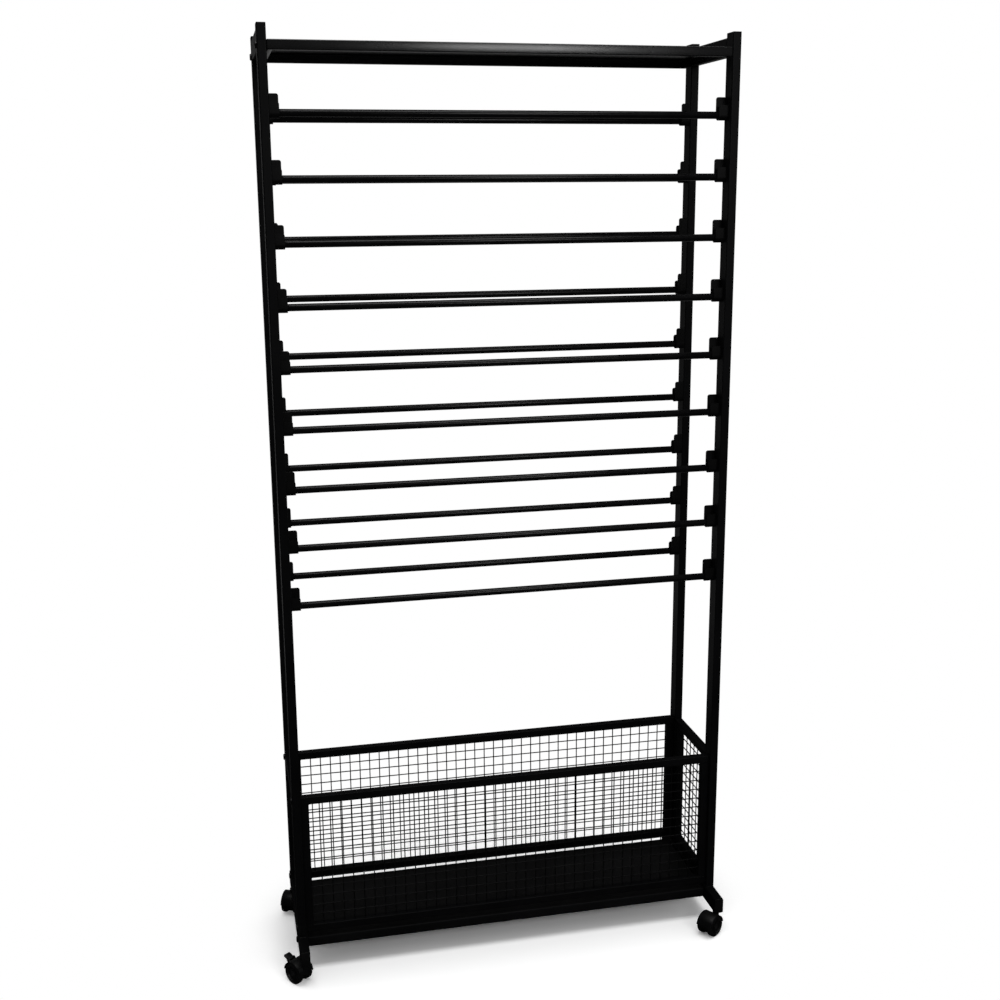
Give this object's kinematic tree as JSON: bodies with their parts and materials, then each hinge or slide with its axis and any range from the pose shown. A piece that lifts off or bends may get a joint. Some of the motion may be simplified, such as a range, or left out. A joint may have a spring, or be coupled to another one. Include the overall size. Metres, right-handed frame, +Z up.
{
  "type": "ribbon rack",
  "caption": "Tall rolling rack for ribbon spools: tube side frames on casters, lift-out rods in open cups on both faces, a sheet shelf on top and a wire basket at the bottom.",
  "frame": {"origin": "on the floor under the middle of the two side frames; the turned casters and the longer front feet shift the middle of the whole box about 4 mm from it", "axes": "+Z up, +X to the right and -Y to the front, as someone faces the rack"},
  "size_m": [0.9076, 0.3784, 1.748],
  "materials": {
    "frame_paint": "black powder coat, satin",
    "sheet_paint": "black powder coat, satin",
    "wire_paint": "black powder coat, satin",
    "rod_paint": "black enamel, half gloss",
    "fitting_plastic": "moulded black plastic",
    "caster_plastic": "moulded black plastic, slight gloss",
    "wheel_plastic": "moulded black plastic, scuffed tread",
    "black_fastener": "black oxide"
  },
  "bodies": {
    "rack": {"upright_front_left": "frame_paint", "upright_front_right": "frame_paint", "upright_back_left": "frame_paint", "upright_back_right": "frame_paint", "top_rail_left": "frame_paint", "top_rail_right": "frame_paint", "foot_rail_left": "frame_paint", "foot_rail_right": "frame_paint", "upright_caps": "fitting_plastic", "foot_caps": "fitting_plastic", "top_shelf": "sheet_paint", "deck": "sheet_paint", "basket_frame_front": "frame_paint", "basket_frame_back": "frame_paint", "basket_frame_left": "frame_paint", "basket_frame_right": "frame_paint", "basket_mesh_front": "wire_paint", "basket_mesh_back": "wire_paint", "basket_mesh_left": "wire_paint", "basket_mesh_right": "wire_paint", "rod_cups_front_left": "fitting_plastic", "rod_cups_front_right": "fitting_plastic", "rod_cups_back_left": "fitting_plastic", "rod_cups_back_right": "fitting_plastic", "frame_bolts": "black_fastener", "frame_nuts": "black_fastener", "caster_stems": "black_fastener"},
    "rod_front_1_body": {"rod_front_1": "rod_paint"},
    "rod_front_2_body": {"rod_front_2": "rod_paint"},
    "rod_front_3_body": {"rod_front_3": "rod_paint"},
    "rod_front_4_body": {"rod_front_4": "rod_paint"},
    "rod_front_5_body": {"rod_front_5": "rod_paint"},
    "rod_front_6_body": {"rod_front_6": "rod_paint"},
    "rod_front_7_body": {"rod_front_7": "rod_paint"},
    "rod_front_8_body": {"rod_front_8": "rod_paint"},
    "rod_front_9_body": {"rod_front_9": "rod_paint"},
    "rod_back_1_body": {"rod_back_1": "rod_paint"},
    "rod_back_2_body": {"rod_back_2": "rod_paint"},
    "rod_back_3_body": {"rod_back_3": "rod_paint"},
    "rod_back_4_body": {"rod_back_4": "rod_paint"},
    "rod_back_5_body": {"rod_back_5": "rod_paint"},
    "rod_back_6_body": {"rod_back_6": "rod_paint"},
    "rod_back_7_body": {"rod_back_7": "rod_paint"},
    "rod_back_8_body": {"rod_back_8": "rod_paint"},
    "rod_back_9_body": {"rod_back_9": "rod_paint"},
    "caster_front_left": {"caster_hood_front_left": "caster_plastic", "caster_axle_front_left": "black_fastener"},
    "wheels_front_left": {"caster_wheels_front_left": "wheel_plastic"},
    "brake_front_left": {"brake_lever_front_left": "caster_plastic"},
    "caster_front_right": {"caster_hood_front_right": "caster_plastic", "caster_axle_front_right": "black_fastener"},
    "wheels_front_right": {"caster_wheels_front_right": "wheel_plastic"},
    "caster_back_left": {"caster_hood_back_left": "caster_plastic", "caster_axle_back_left": "black_fastener"},
    "wheels_back_left": {"caster_wheels_back_left": "wheel_plastic"},
    "caster_back_right": {"caster_hood_back_right": "caster_plastic", "caster_axle_back_right": "black_fastener"},
    "wheels_back_right": {"caster_wheels_back_right": "wheel_plastic"},
    "brake_back_right": {"brake_lever_back_right": "caster_plastic"}
  },
  "joints": [
    {"name": "rod_front_1_lift", "type": "slide", "parent": "rack", "child": "rod_front_1_body", "axis": [0, 0, 1], "range_m": [0, 0.045]},
    {"name": "rod_front_2_lift", "type": "slide", "parent": "rack", "child": "rod_front_2_body", "axis": [0, 0, 1], "range_m": [0, 0.045]},
    {"name": "rod_front_3_lift", "type": "slide", "parent": "rack", "child": "rod_front_3_body", "axis": [0, 0, 1], "range_m": [0, 0.045]},
    {"name": "rod_front_4_lift", "type": "slide", "parent": "rack", "child": "rod_front_4_body", "axis": [0, 0, 1], "range_m": [0, 0.045]},
    {"name": "rod_front_5_lift", "type": "slide", "parent": "rack", "child": "rod_front_5_body", "axis": [0, 0, 1], "range_m": [0, 0.045]},
    {"name": "rod_front_6_lift", "type": "slide", "parent": "rack", "child": "rod_front_6_body", "axis": [0, 0, 1], "range_m": [0, 0.045]},
    {"name": "rod_front_7_lift", "type": "slide", "parent": "rack", "child": "rod_front_7_body", "axis": [0, 0, 1], "range_m": [0, 0.045]},
    {"name": "rod_front_8_lift", "type": "slide", "parent": "rack", "child": "rod_front_8_body", "axis": [0, 0, 1], "range_m": [0, 0.045]},
    {"name": "rod_front_9_lift", "type": "slide", "parent": "rack", "child": "rod_front_9_body", "axis": [0, 0, 1], "range_m": [0, 0.045]},
    {"name": "rod_back_1_lift", "type": "slide", "parent": "rack", "child": "rod_back_1_body", "axis": [0, 0, 1], "range_m": [0, 0.045]},
    {"name": "rod_back_2_lift", "type": "slide", "parent": "rack", "child": "rod_back_2_body", "axis": [0, 0, 1], "range_m": [0, 0.045]},
    {"name": "rod_back_3_lift", "type": "slide", "parent": "rack", "child": "rod_back_3_body", "axis": [0, 0, 1], "range_m": [0, 0.045]},
    {"name": "rod_back_4_lift", "type": "slide", "parent": "rack", "child": "rod_back_4_body", "axis": [0, 0, 1], "range_m": [0, 0.045]},
    {"name": "rod_back_5_lift", "type": "slide", "parent": "rack", "child": "rod_back_5_body", "axis": [0, 0, 1], "range_m": [0, 0.045]},
    {"name": "rod_back_6_lift", "type": "slide", "parent": "rack", "child": "rod_back_6_body", "axis": [0, 0, 1], "range_m": [0, 0.045]},
    {"name": "rod_back_7_lift", "type": "slide", "parent": "rack", "child": "rod_back_7_body", "axis": [0, 0, 1], "range_m": [0, 0.045]},
    {"name": "rod_back_8_lift", "type": "slide", "parent": "rack", "child": "rod_back_8_body", "axis": [0, 0, 1], "range_m": [0, 0.045]},
    {"name": "rod_back_9_lift", "type": "slide", "parent": "rack", "child": "rod_back_9_body", "axis": [0, 0, 1], "range_m": [0, 0.045]},
    {"name": "swivel_front_left", "type": "hinge", "parent": "rack", "child": "caster_front_left", "pos_m": [-0.416, -0.156, 0.043], "axis": [0, 0, 1], "continuous": true},
    {"name": "roll_front_left", "type": "hinge", "parent": "caster_front_left", "child": "wheels_front_left", "pos_m": [-0.42831, -0.14024, 0.021], "axis": [0.788, 0.6157, 0], "continuous": true},
    {"name": "brake_front_left_press", "type": "hinge", "parent": "caster_front_left", "child": "brake_front_left", "pos_m": [-0.44136, -0.12354, 0.03756], "axis": [0.788, 0.6157, 0], "range_deg": [-18, 0]},
    {"name": "swivel_front_right", "type": "hinge", "parent": "rack", "child": "caster_front_right", "pos_m": [0.416, -0.156, 0.043], "axis": [0, 0, 1], "continuous": true},
    {"name": "roll_front_right", "type": "hinge", "parent": "caster_front_right", "child": "wheels_front_right", "pos_m": [0.39923, -0.16689, 0.021], "axis": [-0.5446, 0.8387, 0], "continuous": true},
    {"name": "swivel_back_left", "type": "hinge", "parent": "rack", "child": "caster_back_left", "pos_m": [-0.416, 0.134, 0.043], "axis": [0, 0, 1], "continuous": true},
    {"name": "roll_back_left", "type": "hinge", "parent": "caster_back_left", "child": "wheels_back_left", "pos_m": [-0.42413, 0.11573, 0.021], "axis": [-0.9135, 0.4067, 0], "continuous": true},
    {"name": "swivel_back_right", "type": "hinge", "parent": "rack", "child": "caster_back_right", "pos_m": [0.416, 0.134, 0.043], "axis": [0, 0, 1], "continuous": true},
    {"name": "roll_back_right", "type": "hinge", "parent": "caster_back_right", "child": "wheels_back_right", "pos_m": [0.426, 0.15132, 0.021], "axis": [0.866, -0.5, 0], "continuous": true},
    {"name": "brake_back_right_press", "type": "hinge", "parent": "caster_back_right", "child": "brake_back_right", "pos_m": [0.4366, 0.16968, 0.03756], "axis": [0.866, -0.5, 0], "range_deg": [-18, 0]}
  ]
}
